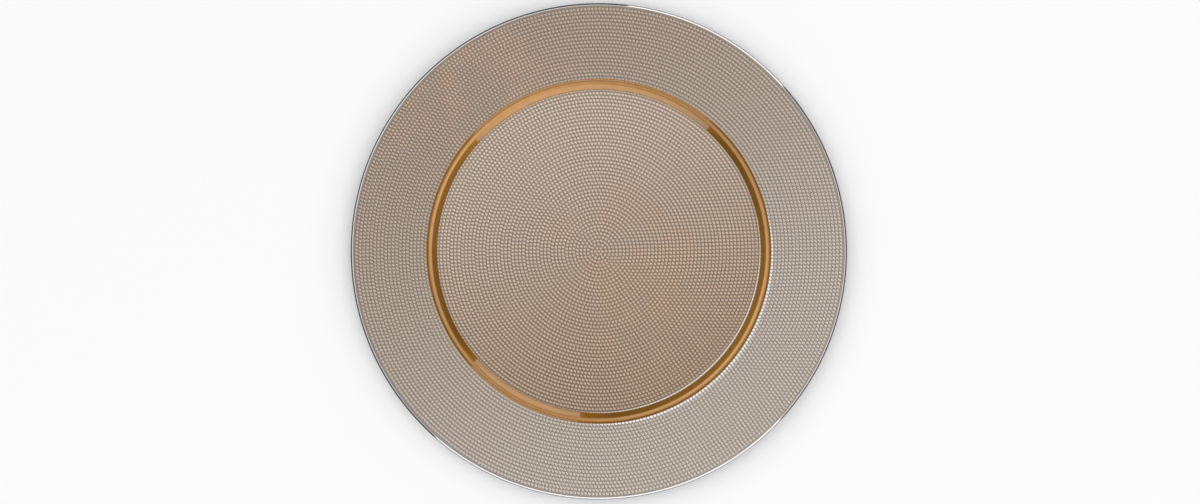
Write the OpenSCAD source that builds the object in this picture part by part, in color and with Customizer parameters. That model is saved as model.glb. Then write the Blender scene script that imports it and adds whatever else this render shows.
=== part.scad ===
// Round glass charger plate with a beaded champagne face and a smooth gold band on its step.
// The plate is pressed clear glass. Coats lie on its face: champagne with rows of beads around the
// centre on the well and on the rim, and smooth gold on the step between them.
// Each row of beads is one rounded ridge around the plate.
// Origin: centre of the standing face, Z up, millimetres.

/* [Plate] */
// Diameter over the rounded glass edge
plate_d = 330; // [300:1:360]
// Thickness of the pressed glass
glass_t = 4.2; // [3.6:0.1:5]
// Slope of the rim towards the edge, degrees
rim_angle = 2; // [1:0.5:5]

/* [Step] */
// Diameter of the flat well
well_d = 216.6; // [190:0.2:230]
// Width of the step between the well and the rim, seen from above
band_w = 6.2; // [5.4:0.1:9]
// Slope of the step's wall, degrees
wall_angle = 43; // [35:1:50]
// Radius where the wall leaves the well
heel_r = 1; // [0.6:0.1:2]
// Radius where the wall meets the rim
shoulder_r = 4.1; // [2:0.1:5]
// Radius under the plate, between the wall and the rim
under_r = 1.5; // [0.5:0.1:3]

/* [Beads] */
// Distance from one row of beads to the next
row_pitch = 2.4; // [2.4:0.1:3.2]
// Width of a bead at its foot
bead_d = 2.3; // [1.6:0.05:2.3]
// Height of a bead above the coat around it
bead_h = 0.6; // [0.3:0.05:0.8]

/* [Coats] */
// Thickness of the champagne coat between its beads, and of the gold coat
coat_t = 0.3; // [0.2:0.05:0.5]
// Width of the bare glass edge outside the coats
bare_edge_w = 2.5; // [2.5:0.1:6]

/* [Hidden] */
// Facets of a full turn, degrees from point to point of an arc, and facets across a bead
$fn = 180;
arc_step = 6;
bead_facets = 4;

plate_r = plate_d / 2;
well_r = well_d / 2;
rim_start_r = well_r + band_w;
coat_r = plate_r - bare_edge_w;
// Half the bend from the slope of the wall to that of the rim
half_bend = (wall_angle - rim_angle) / 2;

// Corners of the glass face before they are rounded: the foot and the top of the wall
foot = [well_r + heel_r * tan(wall_angle / 2), glass_t];
crest_r = rim_start_r - shoulder_r * tan(half_bend) * cos(rim_angle);
crest = [crest_r, glass_t + (crest_r - foot.x) * tan(wall_angle)];

// Centres of the roundings: at the wall's foot, at its top, under its top and at the plate's edge
heel_centre = [well_r, glass_t + heel_r];
shoulder_centre = round_centre(crest, shoulder_r);
under_centre = round_centre(lifted(crest, wall_angle, rim_angle, -glass_t), under_r);
edge_r = glass_t / 2;
edge_centre_r = plate_r - edge_r;
edge_middle = on_rim(edge_centre_r, 0) - edge_r * above(rim_angle);
edge_centre = edge_middle + (edge_centre_r - edge_middle.x) / cos(rim_angle) * along(rim_angle);

// A bead is the cap of a ball, which spans this angle to each side of its top
ball_r = (pow(bead_d / 2, 2) + pow(bead_h, 2)) / (2 * bead_h);
bead_half_angle = asin(bead_d / (2 * ball_r));

// Rows are counted from the centre, on the well and on along the rim
last_well_row = floor(well_r / row_pitch);
first_rim_row = ceil(rim_start_r / row_pitch);
last_rim_row = floor((coat_r - bead_d / 2) / row_pitch);

champagne = [0.70, 0.64, 0.57];
gold = [0.80, 0.60, 0.31];
clear_glass = [0.84, 0.90, 0.88, 0.35];

// A direction in the half section, and the direction square to it on its upper side
function along(angle) = [cos(angle), sin(angle)];
function above(angle) = [-sin(angle), cos(angle)];

// A corner between two lines that are both moved upwards by lift
function lifted(corner, angle1, angle2, lift) =
    corner + lift * (above(angle1) + above(angle2)) / (1 + cos(angle1 - angle2));

// Centre of the rounding of a corner between the wall's slope and the rim's
function round_centre(corner, r) =
    corner - r * (tan(half_bend) * along(wall_angle) + above(wall_angle));

// Points along an arc, and a list of points in the other order
function arc(centre, r, from_angle, to_angle) =
    let (steps = ceil(abs(to_angle - from_angle) / arc_step))
        [for (i = [0 : steps]) centre + r * along(from_angle + (to_angle - from_angle) * i / steps)];
function reversed(points) = [for (i = [len(points) - 1 : -1 : 0]) points[i]];

// A point of the half section at a radius, lifted above the glass face of the well or of the rim
function on_well(r, lift) = [r, glass_t + lift];
function on_rim(r, lift) =
    [r, crest.y + (r - crest.x) * tan(rim_angle)] + lift * above(rim_angle);

// The step from the well to the rim, on a line that lies lift above the glass face
function step_line(lift) = [
    each arc(heel_centre, heel_r - lift, -90, wall_angle - 90),
    each arc(shoulder_centre, shoulder_r + lift, wall_angle + 90, rim_angle + 90)
];

// The points over a bead, from its inner foot to its outer one, as offsets along and above the face
bead_line = [
    for (facet = [0 : bead_facets])
        let (angle = bead_half_angle * (2 * facet / bead_facets - 1))
            [ball_r * sin(angle), coat_t + bead_h - ball_r * (1 - cos(angle))]
];

// Half sections of the beaded coats, longer at both ends than the coats are
module beaded_well() {
    polygon([
        on_well(well_r + row_pitch, 0),
        on_well(-row_pitch, 0),
        for (row = [0 : last_well_row], offset = bead_line)
            on_well(row * row_pitch + offset.x, offset.y),
        on_well(well_r + row_pitch, coat_t)
    ]);
}

module beaded_rim() {
    polygon([
        on_rim(coat_r + row_pitch, 0),
        on_rim(rim_start_r - row_pitch, 0),
        on_rim(rim_start_r - row_pitch, coat_t),
        for (row = [first_rim_row : last_rim_row], offset = bead_line)
            on_rim(row * row_pitch, offset.y) + offset.x * along(rim_angle),
        on_rim(coat_r + row_pitch, coat_t)
    ]);
}

// Pressed glass with a flat standing face and a fully rounded edge
module glass_plate() {
    color(clear_glass) rotate_extrude() polygon([
        [0, 0],
        each arc(heel_centre, heel_r + glass_t, -90, wall_angle - 90),
        each arc(under_centre, under_r, wall_angle + 90, rim_angle + 90),
        each arc(edge_centre, edge_r, rim_angle - 90, rim_angle + 90),
        each reversed(step_line(0)),
        on_well(0, 0)
    ]);
}

// Champagne coat with the beads of the well
module well_coating() {
    color(champagne) rotate_extrude() intersection() {
        beaded_well();
        square([well_r, plate_r]);
    }
}

// Smooth gold coat on the step
module gold_band() {
    color(gold) rotate_extrude() polygon([
        each step_line(0),
        each reversed(step_line(coat_t))
    ]);
}

// Champagne coat with the beads of the rim
module rim_coating() {
    color(champagne) rotate_extrude() intersection() {
        beaded_rim();
        translate(on_rim(rim_start_r, -plate_r)) rotate(rim_angle) square(plate_d);
        square([coat_r, plate_r]);
    }
}

glass_plate();
well_coating();
gold_band();
rim_coating();
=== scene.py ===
"""Dressed model of a round glass charger plate, seen straight from above.

The plate is pressed clear glass. Champagne lustre lies over the rows of beads on its well and on its
rim, and a smooth gold band lies on the step between them.
"""

import logging
import math
from dataclasses import dataclass
from enum import Enum
from itertools import pairwise

import bpy
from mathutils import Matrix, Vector


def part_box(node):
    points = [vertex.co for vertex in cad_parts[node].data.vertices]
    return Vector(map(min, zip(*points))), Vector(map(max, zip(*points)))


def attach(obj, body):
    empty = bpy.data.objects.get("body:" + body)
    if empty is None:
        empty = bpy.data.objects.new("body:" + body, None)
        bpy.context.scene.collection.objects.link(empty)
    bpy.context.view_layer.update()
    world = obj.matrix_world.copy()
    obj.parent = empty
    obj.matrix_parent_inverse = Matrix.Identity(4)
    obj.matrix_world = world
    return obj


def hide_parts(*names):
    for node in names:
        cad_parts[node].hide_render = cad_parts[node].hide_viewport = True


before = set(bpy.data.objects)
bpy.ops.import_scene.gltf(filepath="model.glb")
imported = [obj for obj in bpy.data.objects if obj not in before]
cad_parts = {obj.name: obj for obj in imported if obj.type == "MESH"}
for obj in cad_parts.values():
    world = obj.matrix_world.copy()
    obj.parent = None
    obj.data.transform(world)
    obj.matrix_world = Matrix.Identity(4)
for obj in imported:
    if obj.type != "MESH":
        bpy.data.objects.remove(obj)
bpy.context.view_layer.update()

LOG = logging.getLogger("charger_plate")
MM = 0.001
BODY = "root"

# Facets of a full turn, the steps of an arc in degrees, the angle past which an edge stays sharp, and
# the distance within which points are welded
TURN_FACETS = 256
ARC_STEP = 5.0
SHARP_ANGLE = math.radians(40)
WELD = 0.001 * MM

# Mesh attribute with each point's height on its bead, from 0 at the coat to 1 at the bead's top; the
# lustre is painted darker where it is low, in the hollows between the beads, as painted shade
LIFT = "lift"

Colour = tuple[float, float, float, float]


class Node(Enum):
    """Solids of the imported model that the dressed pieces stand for."""

    GLASS = "glass_plate"
    WELL = "well_coating"
    BAND = "gold_band"
    RIM = "rim_coating"


class Slot(Enum):
    """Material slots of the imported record."""

    GLASS = "clear_glass"
    CHAMPAGNE = "champagne_coat"
    GOLD = "gold_coat"


class Ends(Enum):
    """How the two ends of a turned outline are closed."""

    DISCS = "discs"
    RING = "ring"


def point(r: float, z: float) -> Vector:
    """A point of the half section: its distance from the axis and its height."""
    return Vector((r, z))


def along(angle: float) -> Vector:
    """The direction at an angle in degrees, in the half section or seen from above."""
    return point(math.cos(math.radians(angle)), math.sin(math.radians(angle)))


def above(angle: float) -> Vector:
    """The direction square to a slope, on its upper side."""
    return along(angle + 90)


def arc(centre: Vector, radius: float, start: float, end: float) -> list[Vector]:
    """Points along an arc of the half section.

    Args:
        centre: The arc's centre.
        radius: The arc's radius.
        start: The angle of the first point, in degrees.
        end: The angle of the last point, in degrees.

    Returns:
        The points from start to end, both included.
    """
    steps = max(2, math.ceil(abs(end - start) / ARC_STEP))
    return [centre + radius * along(start + (end - start) * i / steps) for i in range(steps + 1)]


def deselect_all() -> None:
    """Leaves no object selected, so that an operator acts on the new piece alone."""
    bpy.ops.object.select_all(action="DESELECT")


def only(piece: bpy.types.Object) -> bpy.types.Object:
    """Makes one object the whole selection and the active one, and returns it."""
    deselect_all()
    piece.select_set(True)
    bpy.context.view_layer.objects.active = piece
    return piece


def edit() -> None:
    """Opens the active mesh for editing with all of it selected."""
    bpy.ops.object.mode_set(mode="EDIT")
    bpy.ops.mesh.select_mode(type="VERT")
    bpy.ops.mesh.select_all(action="SELECT")


def leave_edit() -> None:
    """Closes the active mesh after editing."""
    bpy.ops.object.mode_set(mode="OBJECT")


def apply_modifier(piece: bpy.types.Object, kind: str, **settings: object) -> None:
    """Adds a modifier with its settings to a piece and applies it.

    Args:
        piece: The piece that is modified.
        kind: The modifier's type.
        settings: The modifier's properties by name.
    """
    only(piece)
    modifier = piece.modifiers.new(kind.lower(), kind)
    for name, value in settings.items():
        setattr(modifier, name, value)
    bpy.ops.object.modifier_apply(modifier=modifier.name)


def close_disc() -> None:
    """Fills the selected ring with a fan of faces and leaves the ring selected again."""
    bpy.ops.object.vertex_group_assign_new()
    bpy.ops.mesh.edge_face_add()
    bpy.ops.mesh.poke()
    bpy.ops.mesh.select_all(action="DESELECT")
    bpy.ops.object.vertex_group_select()
    bpy.ops.object.vertex_group_remove()


def turn(name: str, outline: list[Vector], ends: Ends) -> bpy.types.Object:
    """Turns a half-section outline into a closed round body.

    A circle is drawn at the outline's first point, then extruded, scaled and lifted from point to point.

    Args:
        name: The new piece's name.
        outline: The points of the half section, in order.
        ends: DISCS closes both ends with a disc to the axis, and RING joins the last point to the first.

    Returns:
        The new piece, with its place in its mesh.
    """
    route = outline if ends is Ends.DISCS else [*outline, outline[0]]
    deselect_all()
    bpy.ops.mesh.primitive_circle_add(vertices=TURN_FACETS, radius=route[0].x, location=(0, 0, route[0].y))
    piece = bpy.context.object
    piece.name = name
    edit()
    if ends is Ends.DISCS:
        close_disc()
    for here, there in pairwise(route):
        bpy.ops.mesh.extrude_region()
        grow = there.x / here.x
        bpy.ops.transform.resize(value=(grow, grow, 1), center_override=(0, 0, here.y))
        bpy.ops.transform.translate(value=(0, 0, there.y - here.y))
    if ends is Ends.DISCS:
        close_disc()
    bpy.ops.mesh.select_all(action="SELECT")
    bpy.ops.mesh.remove_doubles(threshold=WELD)
    bpy.ops.mesh.normals_make_consistent(inside=False)
    leave_edit()
    bpy.ops.object.transform_apply(location=True, rotation=True, scale=True)
    bpy.ops.object.shade_smooth_by_angle(angle=SHARP_ANGLE)
    apply_modifier(piece, "WEIGHTED_NORMAL", keep_sharp=True)
    return piece


@dataclass(frozen=True)
class PlateSection:
    """Half section of the plate, in metres and degrees.

    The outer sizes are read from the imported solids. The slopes and small radii repeat the solids' own.
    The step lies step_in nearer the axis than in the solids, as it does in the photograph. The gold
    leaves the shoulder at climb_start, an angle round the shoulder's centre, and climbs by crown_h to
    a flat crown that is crown_w wide.
    """

    plate_r: float
    well_r: float
    rim_start_r: float
    coat_r: float
    glass_t: float
    coat_t: float = 0.3 * MM
    coat_bite: float = 0.02 * MM
    step_in: float = 0.7 * MM
    film_edge_r: float = 0.2 * MM
    rim_angle: float = 2.0
    wall_angle: float = 43.0
    heel_r: float = 1.0 * MM
    shoulder_r: float = 4.1 * MM
    under_r: float = 1.5 * MM
    bevel_angle: float = 55.0
    bevel_half_turn: float = 13.6
    climb_start: float = 94.0
    crown_w: float = 0.34 * MM
    crown_h: float = 0.57 * MM

    @classmethod
    def from_frame(cls) -> "PlateSection":
        """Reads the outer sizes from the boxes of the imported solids.

        Returns:
            The plate's half section.
        """
        well_low, well_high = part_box(Node.WELL.value)
        return cls(
            plate_r=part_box(Node.GLASS.value)[1].x,
            well_r=well_high.x,
            rim_start_r=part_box(Node.BAND.value)[1].x,
            coat_r=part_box(Node.RIM.value)[1].x,
            glass_t=well_low.z,
        )

    @property
    def half_turn(self) -> float:
        """Half of the turn from the wall's slope to the rim's."""
        return (self.wall_angle - self.rim_angle) / 2

    @property
    def step_r(self) -> float:
        """Distance from the axis where the step begins."""
        return self.well_r - self.step_in

    @property
    def gold_start_r(self) -> float:
        """Distance from the axis where the gold rises from the coat of the well."""
        return self.step_r + (self.heel_r - self.coat_t) * math.tan(math.radians(self.wall_angle / 2))

    @property
    def heel_centre(self) -> Vector:
        """Centre of the rounding where the wall leaves the well."""
        return point(self.step_r, self.glass_t + self.heel_r)

    @property
    def crest(self) -> Vector:
        """Corner between the wall and the rim before it is rounded.

        It is moved back along the rim from its place in the solids, so far that the wall comes in by
        step_in.
        """
        reach = self.shoulder_r * math.tan(math.radians(self.half_turn))
        foot_r = self.well_r + self.heel_r * math.tan(math.radians(self.wall_angle / 2))
        crest_r = self.rim_start_r - reach * along(self.rim_angle).x
        rise = (crest_r - foot_r) * math.tan(math.radians(self.wall_angle))
        back = self.step_in * along(self.wall_angle).y / along(self.wall_angle - self.rim_angle).y
        return point(crest_r, self.glass_t + rise) - back * along(self.rim_angle)

    def round_centre(self, corner: Vector, radius: float) -> Vector:
        """Centre of a rounding between the wall's slope and the rim's, for a corner and a radius."""
        reach = radius * math.tan(math.radians(self.half_turn))
        return corner - reach * along(self.wall_angle) - radius * above(self.wall_angle)

    @property
    def shoulder_centre(self) -> Vector:
        """Centre of the rounding where the wall meets the rim."""
        return self.round_centre(self.crest, self.shoulder_r)

    @property
    def edge_centre(self) -> Vector:
        """Centre of the full round at the plate's edge."""
        middle = self.crest - self.glass_t / 2 * above(self.rim_angle)
        edge_r = self.plate_r - self.glass_t / 2
        return point(edge_r, middle.y + (edge_r - middle.x) * math.tan(math.radians(self.rim_angle)))

    def rim_z(self, r: float) -> float:
        """Height of the rim's glass face at a distance from the axis."""
        return self.crest.y + (r - self.crest.x) * math.tan(math.radians(self.rim_angle))

    def rim_point(self, r: float, lift: float) -> Vector:
        """A point at a distance from the axis, lift above the rim's glass face."""
        return point(r, self.rim_z(r) + lift / along(self.rim_angle).x)

    def shoulder_line(self, lift: float, end: float) -> list[Vector]:
        """The rounding from the wall to the rim.

        Args:
            lift: How far above the glass face the line lies.
            end: The angle round the shoulder's centre where the line ends, in degrees.

        Returns:
            The line's points, from the wall outwards.
        """
        return arc(self.shoulder_centre, self.shoulder_r + lift, self.wall_angle + 90, end)

    def step_line(self, lift: float) -> list[Vector]:
        """The step from the well to the rim, on a line that lies lift above the glass face."""
        heel = arc(self.heel_centre, self.heel_r - lift, -90, self.wall_angle - 90)
        return heel + self.shoulder_line(lift, self.rim_angle + 90)

    def glass_outline(self) -> list[Vector]:
        """The bare glass, from the standing face round the edge, with its polished bevel, to the well."""
        half_t = self.glass_t / 2
        split = (above(self.wall_angle) + above(self.rim_angle)) / (1 + along(2 * self.half_turn).x)
        under = self.round_centre(self.crest - self.glass_t * split, self.under_r)
        top = self.rim_angle + 90
        return [
            *arc(self.heel_centre, self.heel_r + self.glass_t, -90, self.wall_angle - 90),
            *arc(under, self.under_r, self.wall_angle + 90, top),
            *arc(self.edge_centre, half_t, top - 180, self.bevel_angle - self.bevel_half_turn),
            *arc(self.edge_centre, half_t, self.bevel_angle + self.bevel_half_turn, top),
            *reversed(self.step_line(0)),
        ]

    def well_outline(self) -> list[Vector]:
        """The coat on the flat of the well, without its beads."""
        return [
            point(self.gold_start_r, self.glass_t - self.coat_bite),
            point(self.gold_start_r, self.glass_t + self.coat_t),
        ]

    def band_outline(self) -> list[Vector]:
        """The gold coat on the step, which climbs at its outer end to the foot of the rim's beads."""
        crown = self.coat_t + self.crown_h
        return [
            point(self.gold_start_r, self.glass_t + self.coat_t),
            *self.shoulder_line(self.coat_t, self.climb_start),
            self.rim_point(self.rim_start_r - self.crown_w, crown),
            self.rim_point(self.rim_start_r, crown),
            self.rim_point(self.rim_start_r, -self.coat_bite),
            *reversed(self.step_line(-self.coat_bite)),
        ]

    def rim_outline(self) -> list[Vector]:
        """The coat on the rim, without its beads and with a rounded outer end."""
        end_r = self.coat_r - self.film_edge_r
        end_centre = self.rim_point(end_r, self.coat_t - self.film_edge_r)
        return [
            self.rim_point(self.rim_start_r, self.coat_t),
            *arc(end_centre, self.film_edge_r, self.rim_angle + 90, 0),
            self.rim_point(self.coat_r, -self.coat_bite),
            self.rim_point(self.rim_start_r, -self.coat_bite),
        ]


class NodeSet:
    """The nodes of a material or of the world, and the links between them."""

    def __init__(self, tree: bpy.types.NodeTree, coordinates: str) -> None:
        """Starts from a tree's own nodes.

        Args:
            tree: The tree that nodes are added to.
            coordinates: The name of the texture coordinates that give each place.
        """
        self.tree = tree
        self.nodes = tree.nodes
        self.place = self.add("ShaderNodeTexCoord").outputs[coordinates]

    def add(self, kind: str, **inputs: object) -> bpy.types.Node:
        """Adds a node and sets its inputs.

        Args:
            kind: The node's type.
            inputs: Values or output sockets by input name, with underscores for spaces.

        Returns:
            The new node.
        """
        node = self.nodes.new(kind)
        for name, value in inputs.items():
            self.feed(node, name.replace("_", " "), value)
        return node

    def feed(self, node: bpy.types.Node, name: str, value: object) -> None:
        """Sets a named input to a value, or links an output socket to it."""
        self.link_or_set(node.inputs[name], value)

    def link_or_set(self, socket: bpy.types.NodeSocket, value: object) -> None:
        """Sets an input socket to a value, or links an output socket to it."""
        if isinstance(value, bpy.types.NodeSocket):
            self.tree.links.new(value, socket)
        else:
            socket.default_value = value

    def ramp(self, factor: bpy.types.NodeSocket, stops: dict[float, Colour]) -> bpy.types.NodeSocket:
        """A colour that changes along a factor.

        Args:
            factor: The socket that drives the colour.
            stops: The colours by their place from 0 to 1.

        Returns:
            The ramp's colour socket.
        """
        node = self.add("ShaderNodeValToRGB", Fac=factor)
        elements = node.color_ramp.elements
        while len(elements) < len(stops):
            elements.new(1.0)
        for element, (place, colour) in zip(elements, stops.items()):
            element.position = place
            element.color = colour
        return node.outputs["Color"]

    def arithmetic(
        self, operation: str, one: bpy.types.NodeSocket, other: bpy.types.NodeSocket
    ) -> bpy.types.NodeSocket:
        """The product of two numbers, or the difference between them.

        Args:
            operation: MULTIPLY or SUBTRACT.
            one: The first number's socket.
            other: The second number's socket.

        Returns:
            The result's socket.
        """
        node = self.add("ShaderNodeMath")
        node.operation = operation
        self.link_or_set(node.inputs[0], one)
        self.link_or_set(node.inputs[1], other)
        return node.outputs["Value"]

    def reach(self, angle: float) -> bpy.types.NodeSocket:
        """How far a place or a direction reaches towards an angle round the axis."""
        node = self.add("ShaderNodeVectorMath")
        node.operation = "DOT_PRODUCT"
        self.link_or_set(node.inputs[0], self.place)
        self.link_or_set(node.inputs[1], along(angle).to_3d())
        return node.outputs["Value"]


class Shading(NodeSet):
    """A new material and the nodes that are added to it."""

    def __init__(self, name: str) -> None:
        """Starts a material that holds one Principled shader."""
        self.material = bpy.data.materials.new(name)
        self.material.use_nodes = True
        super().__init__(self.material.node_tree, "Object")
        self.shader = self.nodes["Principled BSDF"]

    def surface(self, **inputs: object) -> None:
        """Sets the inputs of the Principled shader, with underscores for spaces."""
        for name, value in inputs.items():
            self.feed(self.shader, name.replace("_", " "), value)

    def noise(self, size: float, detail: float = 2.0) -> bpy.types.NodeSocket:
        """A noise of a given size in metres, from 0 to 1.

        Args:
            size: The width of its features.
            detail: How many finer layers it has.

        Returns:
            The noise's factor socket.
        """
        node = self.add("ShaderNodeTexNoise", Vector=self.place, Scale=1 / size, Detail=detail)
        return node.outputs["Fac"]

    def span(self, factor: bpy.types.NodeSocket, low: float, high: float) -> bpy.types.NodeSocket:
        """A factor from 0 to 1 brought to the range from low to high."""
        node = self.add("ShaderNodeMapRange", Value=factor, To_Min=low, To_Max=high)
        return node.outputs["Result"]

    def share(
        self, value: bpy.types.NodeSocket, low: float, high: float, top: float = 1.0
    ) -> bpy.types.NodeSocket:
        """A smooth factor that rises with a value.

        Args:
            value: The socket that drives the factor.
            low: The value up to which the factor is 0.
            high: The value from which the factor is at its top.
            top: The highest factor.

        Returns:
            The factor's socket.
        """
        node = self.add("ShaderNodeMapRange", Value=value, From_Min=low, From_Max=high, To_Max=top)
        node.interpolation_type = "SMOOTHSTEP"
        return node.outputs["Result"]

    def distance(self, centre: Vector) -> bpy.types.NodeSocket:
        """A place's distance from an upright line, in metres.

        Args:
            centre: Where the line stands on the floor.

        Returns:
            The distance's socket.
        """
        flat = self.add("ShaderNodeVectorMath")
        flat.operation = "MULTIPLY"
        self.link_or_set(flat.inputs[0], self.place)
        self.link_or_set(flat.inputs[1], (1.0, 1.0, 0.0))
        node = self.add("ShaderNodeVectorMath")
        node.operation = "DISTANCE"
        self.link_or_set(node.inputs[0], flat.outputs["Vector"])
        self.link_or_set(node.inputs[1], centre.to_3d())
        return node.outputs["Value"]

    def attribute(self, name: str) -> bpy.types.NodeSocket:
        """A number that the mesh's points carry."""
        node = self.add("ShaderNodeAttribute")
        node.attribute_name = name
        return node.outputs["Fac"]

    def mix(
        self, factor: bpy.types.NodeSocket, low: object, high: object, blend: str = "MIX"
    ) -> bpy.types.NodeSocket:
        """A colour between two others, or a colour dimmed by another.

        Args:
            factor: The socket that gives the second colour's share.
            low: The first colour, or its socket.
            high: The second colour, or its socket.
            blend: MIX for a colour between the two, or MULTIPLY to dim the first by the second.

        Returns:
            The mixed colour's socket.
        """
        node = self.add("ShaderNodeMix")
        node.data_type = "RGBA"
        node.blend_type = blend
        # For colours, the factor is input 0, the colours are inputs 6 and 7, and the result is output 2
        self.link_or_set(node.inputs[0], factor)
        self.link_or_set(node.inputs[6], low)
        self.link_or_set(node.inputs[7], high)
        return node.outputs[2]

    def bump(self, height: bpy.types.NodeSocket, strength: float, distance: float) -> bpy.types.NodeSocket:
        """A normal that follows small heights.

        Args:
            height: The socket that gives the height, from 0 to 1.
            strength: How much of it shows.
            distance: The height of 1, in metres.

        Returns:
            The normal socket.
        """
        node = self.add("ShaderNodeBump", Height=height, Strength=strength, Distance=distance)
        return node.outputs["Normal"]


@dataclass(frozen=True)
class ChampagneLustre:
    """Champagne metallic lustre under a clear glaze, sprayed unevenly in warm patches.

    Its colour is painted paler towards one angle round the axis, as a painted sheen, and deeper on the
    other side, as painted shade, with warm patches round a place at warm_angle. Past a circle set off
    centre, a crescent of beads is painted white as a painted highlight. The hollows between the beads
    are painted darker by a colour of their own, as painted shade.
    """

    # The pale colour is a painted sheen and the deep colour is painted shade; the hollow colour is painted
    # shade
    sheen_angle: float
    sheen_reach: float
    pale: Colour
    deep: Colour
    hollow_shade: Colour
    warm_angle: float
    warm_r: float
    warm_reach: tuple[float, float]
    highlight_centre: Vector
    highlight_edge: tuple[float, float]
    highlight_metal: float
    warm: Colour = (0.60, 0.42, 0.29, 1.0)
    # Painted highlight: the white of the crescent of beads, and the painted shade of its hollows
    bare: Colour = (0.93, 0.92, 0.90, 1.0)
    highlight_hollow_shade: Colour = (0.68, 0.65, 0.61, 1.0)
    hollow_shade_lift: tuple[float, float] = (0.5, 0.0)
    patch_size: float = 34 * MM
    patch_span: tuple[float, float] = (0.38, 0.66)
    patch_strength: float = 0.4
    grain_size: float = 0.35 * MM
    grain_height: float = 0.02 * MM
    grain_strength: float = 0.4
    satin: tuple[float, float] = (0.2, 0.28)
    glaze: float = 0.3
    glaze_roughness: float = 0.1

    def material(self) -> bpy.types.Material:
        """Makes the lustre's material.

        Returns:
            A satin metal with warm patches, painted paler on one side as a painted sheen and deeper on the
            other as painted shade, with painted shade in the hollows between the beads and a crescent of
            beads painted white as a painted highlight.
        """
        shading = Shading("champagne_lustre")
        # Painted sheen and painted shade: paler towards one angle round the axis, deeper on the other side
        side = shading.reach(self.sheen_angle)
        sheen_share = shading.share(side, -self.sheen_reach, self.sheen_reach)
        warm_centre = self.warm_r * along(self.warm_angle)
        warmth = shading.share(shading.distance(warm_centre), *self.warm_reach)
        patch = shading.share(shading.noise(self.patch_size), *self.patch_span, self.patch_strength)
        # Painted highlight: past an off-centre circle the beads are painted white, as a crescent beside the
        # gold
        bare = shading.share(shading.distance(self.highlight_centre), *self.highlight_edge)
        # Painted shade: the lustre is darker low on the beads, in the hollows between them
        hollow_shade_share = shading.share(shading.attribute(LIFT), *self.hollow_shade_lift)
        grain = shading.noise(self.grain_size)
        lustre = shading.mix(sheen_share, self.deep, self.pale)
        lustre = shading.mix(shading.arithmetic("MULTIPLY", patch, warmth), lustre, self.warm)
        lustre = shading.mix(bare, lustre, self.bare)
        # The hollows inside the painted highlight take a painted shade of their own
        hollow_shade = shading.mix(bare, self.hollow_shade, self.highlight_hollow_shade)
        shading.surface(
            Base_Color=shading.mix(hollow_shade_share, lustre, hollow_shade, "MULTIPLY"),
            Metallic=shading.span(bare, 1.0, self.highlight_metal),
            Roughness=shading.span(grain, *self.satin),
            Normal=shading.bump(grain, self.grain_strength, self.grain_height),
            Coat_Weight=self.glaze,
            Coat_Roughness=self.glaze_roughness,
        )
        return shading.material


@dataclass(frozen=True)
class GoldLustre:
    """Smooth gold lustre under a clear glaze."""

    deep: Colour = (0.42, 0.18, 0.012, 1.0)
    main: Colour = (0.458, 0.2, 0.0145, 1.0)
    mottle_size: float = 5 * MM
    mottle_detail: float = 4.0
    mottle_span: tuple[float, float] = (0.3, 0.6)
    speck_size: float = 0.6 * MM
    speck_height: float = 0.01 * MM
    speck_strength: float = 0.3
    satin: tuple[float, float] = (0.28, 0.34)
    glaze: float = 1.0
    glaze_roughness: float = 0.03
    glaze_ior: float = 1.82

    def material(self) -> bpy.types.Material:
        """Makes the gold's material.

        Returns:
            A satin gold, slightly mottled, with a clear glaze.
        """
        shading = Shading("gold_lustre")
        mottle = shading.noise(self.mottle_size, self.mottle_detail)
        speck = shading.noise(self.speck_size)
        shading.surface(
            Base_Color=shading.ramp(mottle, dict(zip(self.mottle_span, (self.deep, self.main)))),
            Metallic=1.0,
            Roughness=shading.span(speck, *self.satin),
            Normal=shading.bump(speck, self.speck_strength, self.speck_height),
            Coat_Weight=self.glaze,
            Coat_Roughness=self.glaze_roughness,
            Coat_IOR=self.glaze_ior,
        )
        return shading.material


@dataclass(frozen=True)
class PressedGlass:
    """Clear pressed glass: champagne, then silver lustre on its edge, then a painted dark reflection."""

    edge_r: float
    tint: Colour = (0.93, 0.95, 0.94, 1.0)
    margin: Colour = (0.51, 0.46, 0.41, 1.0)
    margin_w: float = 2.7 * MM
    silver: Colour = (0.84, 0.83, 0.82, 1.0)
    silver_w: float = 1.4 * MM
    # Painted dark reflection round the outermost edge
    dark: Colour = (0.1, 0.1, 0.1, 1.0)
    dark_w: float = 0.7 * MM
    blur: float = 0.2 * MM
    ior: float = 1.5
    ripple_size: float = 9 * MM
    ripple_height: float = 0.05 * MM
    ripple_strength: float = 0.3
    polish: tuple[float, float] = (0.02, 0.06)

    def material(self) -> bpy.types.Material:
        """Makes the glass's material.

        Returns:
            A clear glass with the slight ripple of a pressed surface and a lustred edge, whose outermost
            ring is a painted dark reflection.
        """
        shading = Shading("pressed_glass")
        ripple = shading.noise(self.ripple_size)
        radius = shading.distance(Vector((0, 0)))
        # The champagne and silver rings are lustre; the outermost dark ring is a painted dark reflection
        rings = [(self.margin_w, self.margin), (self.silver_w, self.silver), (self.dark_w, self.dark)]
        inner_r = self.edge_r - self.margin_w
        colour = self.tint
        for width, lustre in rings:
            start_r = self.edge_r - width
            colour = shading.mix(shading.share(radius, start_r - self.blur, start_r), colour, lustre)
        shading.surface(
            Base_Color=colour,
            Metallic=shading.share(radius, inner_r - self.blur, inner_r),
            Roughness=shading.span(ripple, *self.polish),
            IOR=self.ior,
            Transmission_Weight=1.0,
            Normal=shading.bump(ripple, self.ripple_strength, self.ripple_height),
        )
        return shading.material


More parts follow.
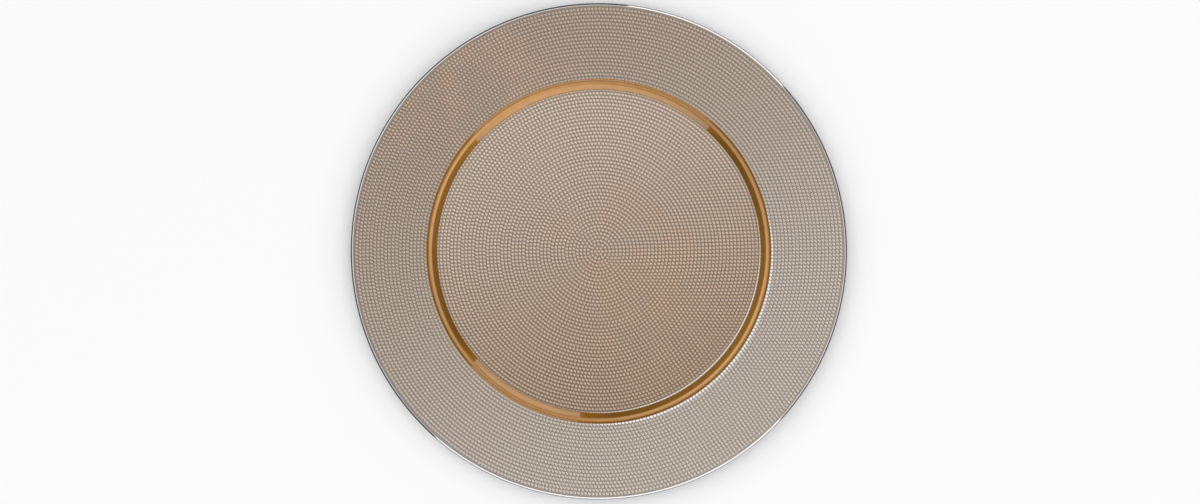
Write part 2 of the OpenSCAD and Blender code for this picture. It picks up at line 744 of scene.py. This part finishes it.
@dataclass(frozen=True)
class BeadRows:
    """Rows of beads round the plate's axis, as many in each row as its length takes.

    Rows are counted from the axis and begin at first_angle. A row takes one bead more where no more
    than count_slack of a bead's room is missing. A bead's foot reaches into the coat by root.
    """

    section: PlateSection
    row_pitch: float = 2.4 * MM
    bead_d: float = 2.3 * MM
    bead_h: float = 0.6 * MM
    root: float = 0.1 * MM
    sides: int = 7
    rings: int = 6
    first_angle: float = 1.8
    count_slack: float = 0.2

    @property
    def ball_r(self) -> float:
        """Radius of the ball that a bead is the cap of."""
        return ((self.bead_d / 2) ** 2 + self.bead_h**2) / (2 * self.bead_h)

    @property
    def ball_z(self) -> float:
        """Height of that ball's middle above the glass face."""
        return self.section.coat_t + self.bead_h - self.ball_r

    @property
    def last_well_row(self) -> int:
        """The last row on the well, which the step cuts into."""
        return math.floor(self.section.well_r / self.row_pitch)

    @property
    def first_rim_row(self) -> int:
        """The first row outside the gold band."""
        return math.ceil(self.section.rim_start_r / self.row_pitch)

    @property
    def last_rim_row(self) -> int:
        """The last row inside the bare edge."""
        return math.floor((self.section.coat_r - self.bead_d / 2) / self.row_pitch)

    def in_row(self, row: int) -> int:
        """The number of beads in a row."""
        return max(1, math.floor(2 * math.pi * row + self.count_slack))

    def bead(self) -> bpy.types.Object:
        """Models one bead at the origin: the cap of a ball, with its foot in the coat.

        Returns:
            The bead, smooth over its top and sharp round its foot.
        """
        deselect_all()
        bpy.ops.mesh.primitive_uv_sphere_add(
            segments=self.sides, ring_count=self.rings, radius=self.ball_r, location=(0, 0, self.ball_z)
        )
        bead = bpy.context.object
        bead.name = "bead"
        foot = (0, 0, self.section.coat_t - self.root)
        edit()
        bpy.ops.mesh.bisect(plane_co=foot, plane_no=(0, 0, 1), use_fill=True, clear_inner=True)
        leave_edit()
        bpy.ops.object.shade_smooth_by_angle(angle=SHARP_ANGLE)
        bpy.ops.object.transform_apply(location=True, rotation=True, scale=True)
        lift = bead.data.attributes.new(LIFT, "FLOAT", "POINT")
        for vertex in bead.data.vertices:
            lift.data[vertex.index].value = (vertex.co.z - self.section.coat_t) / self.bead_h
        return bead

    def row(self, bead: bpy.types.Object, row: int, z: float, slope: float) -> bpy.types.Object:
        """Copies a bead round the axis to fill one row.

        Args:
            bead: The bead that is copied.
            row: The row's number, counted from the axis.
            z: The height of the glass face under the row.
            slope: The slope of the glass face there, in degrees.

        Returns:
            The row as one mesh.
        """
        only(bead)
        bpy.ops.object.duplicate(linked=False)
        copy = bpy.context.object
        copy.location = (row * self.row_pitch, 0, z)
        copy.rotation_euler = (0, -math.radians(slope), 0)
        bpy.ops.object.transform_apply(location=True, rotation=True, scale=True)
        copies = self.in_row(row) - 1
        edit()
        if row == self.last_well_row:
            self.trim_at_step()
        if copies:
            turned = 2 * math.pi * copies / (copies + 1)
            bpy.ops.mesh.spin(steps=copies, dupli=True, angle=turned, center=(0, 0, 0), axis=(0, 0, 1))
        leave_edit()
        copy.rotation_euler = (0, 0, math.radians(self.first_angle))
        bpy.ops.object.transform_apply(location=True, rotation=True, scale=True)
        return copy

    def trim_at_step(self) -> None:
        """Cuts the open bead off where the gold begins."""
        bpy.ops.mesh.bisect(
            plane_co=(self.section.gold_start_r, 0, 0), plane_no=(-1, 0, 0), use_fill=True, clear_inner=True
        )
        bpy.ops.mesh.select_all(action="SELECT")

    def lay(self, sheet: bpy.types.Object, first: int, last: int, on_rim: bool) -> None:
        """Lays rows of beads on a sheet of coat and joins them to it.

        Args:
            sheet: The coat that carries the beads.
            first: The first row's number.
            last: The last row's number.
            on_rim: Whether the rows lie on the sloping rim or on the flat well.
        """
        bead = self.bead()
        slope = self.section.rim_angle if on_rim else 0.0
        rows = []
        for number in range(first, last + 1):
            z = self.section.rim_z(number * self.row_pitch) if on_rim else self.section.glass_t
            rows.append(self.row(bead, number, z, slope))
        only(bead)
        bpy.ops.object.delete()
        for piece in rows:
            piece.select_set(True)
        sheet.select_set(True)
        bpy.context.view_layer.objects.active = sheet
        bpy.ops.object.join()


@dataclass
class ChargerPlate:
    """The plate: its glass body, its two champagne coats and the gold band between them.

    Each champagne coat has a crescent of beads beside the gold painted white as a painted highlight,
    widest at one angle round the axis. The highlight's circle clears the field's edge by the crescent's
    width, and lies off centre by twice that width.
    """

    section: PlateSection
    beads: BeadRows
    # Width of each crescent painted white as a painted highlight, the angle where it is widest, and its
    # blur
    well_highlight_w: float = 1.1 * MM
    rim_highlight_w: float = 2.6 * MM
    highlight_angle: float = 320.0
    highlight_blur: float = 0.3 * MM

    def build(self) -> list[bpy.types.Object]:
        """Builds and dresses every piece.

        Returns:
            The finished pieces.
        """
        glass = PressedGlass(self.section.plate_r)
        gold = GoldLustre()
        well = self.well_lustre()
        rim = self.rim_lustre()
        return [
            self.dress(self.glass_body(), glass.material(), Node.GLASS),
            self.dress(self.well_coat(), well.material(), Node.WELL),
            self.dress(self.gold_band(), gold.material(), Node.BAND),
            self.dress(self.rim_coat(), rim.material(), Node.RIM),
        ]

    def well_lustre(self) -> ChampagneLustre:
        """The lustre of the well, with a thin crescent at its outer end painted white as a painted
        highlight.
        """
        edge_r = self.section.gold_start_r + self.well_highlight_w
        return ChampagneLustre(
            # A painted sheen on the pale side and painted shade on the deep side
            sheen_angle=105,
            sheen_reach=self.section.well_r,
            pale=(0.622, 0.52, 0.432, 1.0),
            deep=(0.47, 0.36, 0.266, 1.0),
            # Painted shade in the hollows between the beads
            hollow_shade=(0.86, 0.84, 0.81, 1.0),
            warm_angle=340,
            warm_r=30 * MM,
            warm_reach=(95 * MM, 15 * MM),
            # The white crescent of beads is a painted highlight
            highlight_centre=-2 * self.well_highlight_w * along(self.highlight_angle),
            highlight_edge=(edge_r, edge_r + self.highlight_blur),
            highlight_metal=0.0,
        )

    def rim_lustre(self) -> ChampagneLustre:
        """The lustre of the rim, with a thin crescent at its inner end painted white as a painted
        highlight.
        """
        edge_r = self.section.rim_start_r - self.rim_highlight_w
        return ChampagneLustre(
            # A painted sheen on the pale side and painted shade on the deep side
            sheen_angle=305,
            sheen_reach=self.section.coat_r,
            pale=(0.58, 0.51, 0.449, 1.0),
            deep=(0.458, 0.369, 0.297, 1.0),
            # Painted shade in the hollows between the beads
            hollow_shade=(0.97, 0.96, 0.95, 1.0),
            warm_angle=125,
            warm_r=150 * MM,
            warm_reach=(120 * MM, 20 * MM),
            # The white crescent of beads is a painted highlight
            highlight_centre=2 * self.rim_highlight_w * along(self.highlight_angle),
            highlight_edge=(edge_r, edge_r - self.highlight_blur),
            highlight_metal=0.9,
        )

    def glass_body(self) -> bpy.types.Object:
        """Turns the glass with its flat standing face and rounded edge."""
        return turn("glass_body", self.section.glass_outline(), Ends.DISCS)

    def well_coat(self) -> bpy.types.Object:
        """Turns the coat of the well and lays its beads."""
        sheet = turn("well_coat", self.section.well_outline(), Ends.DISCS)
        self.beads.lay(sheet, 0, self.beads.last_well_row, on_rim=False)
        return sheet

    def gold_band(self) -> bpy.types.Object:
        """Turns the gold coat of the step."""
        return turn("gold_band_coat", self.section.band_outline(), Ends.RING)

    def rim_coat(self) -> bpy.types.Object:
        """Turns the coat of the rim and lays its beads."""
        sheet = turn("rim_coat", self.section.rim_outline(), Ends.RING)
        self.beads.lay(sheet, self.beads.first_rim_row, self.beads.last_rim_row, on_rim=True)
        return sheet

    def dress(
        self, piece: bpy.types.Object, material: bpy.types.Material, node: Node
    ) -> bpy.types.Object:
        """Gives a piece its finish and its place in the frame.

        Args:
            piece: The finished mesh.
            material: Its finish.
            node: The solid that it stands for.

        Returns:
            The same piece.
        """
        piece.data.materials.clear()
        piece.data.materials.append(material)
        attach(piece, BODY)
        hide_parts(node.value)
        return piece


@dataclass(frozen=True)
class SoftBox:
    """A soft panel of light that faces the plate, with its sizes in metres and its angles in degrees."""

    name: str
    azimuth: float
    width: float
    height: float = 0.38
    elevation: float = 11.0
    distance: float = 1.5
    brightness: float = 1.4

    def build(self) -> bpy.types.Object:
        """Adds the panel as an area lamp.

        Returns:
            The lamp, turned to the origin.
        """
        across = math.cos(math.radians(self.elevation)) * self.distance
        place = Vector((
            across * math.cos(math.radians(self.azimuth)),
            across * math.sin(math.radians(self.azimuth)),
            math.sin(math.radians(self.elevation)) * self.distance,
        ))
        deselect_all()
        bpy.ops.object.light_add(type="AREA", location=place)
        lamp = bpy.context.object
        lamp.name = self.name
        lamp.rotation_euler = (-place).to_track_quat("-Z", "Y").to_euler()
        lamp.visible_camera = False
        lamp.data.shape = "RECTANGLE"
        lamp.data.size = self.width
        lamp.data.size_y = self.height
        lamp.data.energy = self.brightness * math.pi * self.width * self.height
        return lamp


@dataclass(frozen=True)
class Studio:
    """Floor, soft light and the camera above the plate.

    The dome's rise and fall are given by elevation, in degrees. The plate's radius and the place of its
    middle are measured in the photograph, in pixels.
    """

    floor_r: float = 6.0
    floor_colour: Colour = (0.985, 0.985, 0.985, 1.0)
    floor_roughness: float = 0.8
    room: Colour = (0.11, 0.11, 0.11, 1.0)
    dome: Colour = (1.11, 1.11, 1.12, 1.0)
    overhead: Colour = (0.5, 0.5, 0.5, 1.0)
    dome_rise: tuple[float, float] = (12.0, 24.0)
    dome_fall: tuple[float, float] = (66.0, 74.0)
    bright_axis: float = 150.0
    axis_gain: float = 0.5
    camera_height: float = 0.825
    photo_width: int = 1200
    plate_r_px: float = 248.2
    plate_left_px: float = 1.15
    plate_up_px: float = 0.7
    sensor_mm: float = 36.0
    boxes: tuple[SoftBox, ...] = (
        SoftBox("front_softbox", azimuth=273.0, width=2.85),
        SoftBox("side_softbox", azimuth=62.5, width=1.12),
    )

    def build(self, section: PlateSection) -> None:
        """Sets up the floor, the light and the camera.

        Args:
            section: The plate's sizes, which the camera's lens is worked out from.
        """
        self.floor()
        self.sky()
        for box in self.boxes:
            box.build()
        self.camera(section)
        bpy.context.scene.view_settings.view_transform = "Standard"

    def floor(self) -> None:
        """Lays the pale floor, which takes the plate's shadow."""
        deselect_all()
        bpy.ops.mesh.primitive_circle_add(vertices=TURN_FACETS, radius=self.floor_r, fill_type="NGON")
        floor = bpy.context.object
        floor.name = "floor"
        shading = Shading("pale_floor")
        shading.surface(
            Base_Color=self.floor_colour,
            Roughness=self.floor_roughness,
            Specular_IOR_Level=0.0,
        )
        floor.data.materials.append(shading.material)

    def sky(self) -> None:
        """Makes a dome that is dim near the horizon and overhead, and brightest on two opposite sides."""
        world = bpy.data.worlds.new("studio_room")
        bpy.context.scene.world = world
        world.use_nodes = True
        nodes = NodeSet(world.node_tree, "Generated")
        height = nodes.add("ShaderNodeSeparateXYZ", Vector=nodes.place).outputs["Z"]
        rings = zip((*self.dome_rise, *self.dome_fall), (self.room, self.dome, self.dome, self.overhead))
        colour = nodes.ramp(height, {along(elevation).y: tone for elevation, tone in rings})
        bright = nodes.reach(self.bright_axis)
        dim = nodes.reach(self.bright_axis + 90)
        bright_share = nodes.arithmetic("MULTIPLY", bright, bright)
        dim_share = nodes.arithmetic("MULTIPLY", dim, dim)
        lean = nodes.arithmetic("SUBTRACT", bright_share, dim_share)
        strength = nodes.add(
            "ShaderNodeMapRange",
            Value=lean,
            From_Min=-1.0,
            To_Min=1 - self.axis_gain,
            To_Max=1 + self.axis_gain,
        )
        background = nodes.nodes["Background"]
        nodes.feed(background, "Color", colour)
        nodes.feed(background, "Strength", strength.outputs["Result"])

    def camera(self, section: PlateSection) -> None:
        """Hangs the camera straight above the plate, framed as in the photograph.

        Args:
            section: The plate's sizes.
        """
        deselect_all()
        bpy.ops.object.camera_add(location=(0, 0, self.camera_height), rotation=(0, 0, 0))
        camera = bpy.context.object
        camera.name = "camera"
        depth = self.camera_height - section.edge_centre.y
        focal_px = self.plate_r_px * depth / section.plate_r
        camera.data.sensor_width = self.sensor_mm
        camera.data.lens = self.sensor_mm * focal_px / self.photo_width
        camera.data.shift_x = self.plate_left_px / self.photo_width
        camera.data.shift_y = -self.plate_up_px / self.photo_width
        bpy.context.scene.camera = camera


def write_sizes() -> None:
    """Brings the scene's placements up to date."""
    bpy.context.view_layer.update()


def main() -> None:
    """Builds the plate and its studio, and reports each piece."""
    logging.basicConfig(level=logging.INFO, format="%(name)s: %(message)s")
    section = PlateSection.from_frame()
    Studio().build(section)
    for piece in ChargerPlate(section, BeadRows(section)).build():
        piece.data.calc_loop_triangles()
        LOG.info("%s: %d triangles", piece.name, len(piece.data.loop_triangles))
    write_sizes()


if __name__ == "__main__":
    main()
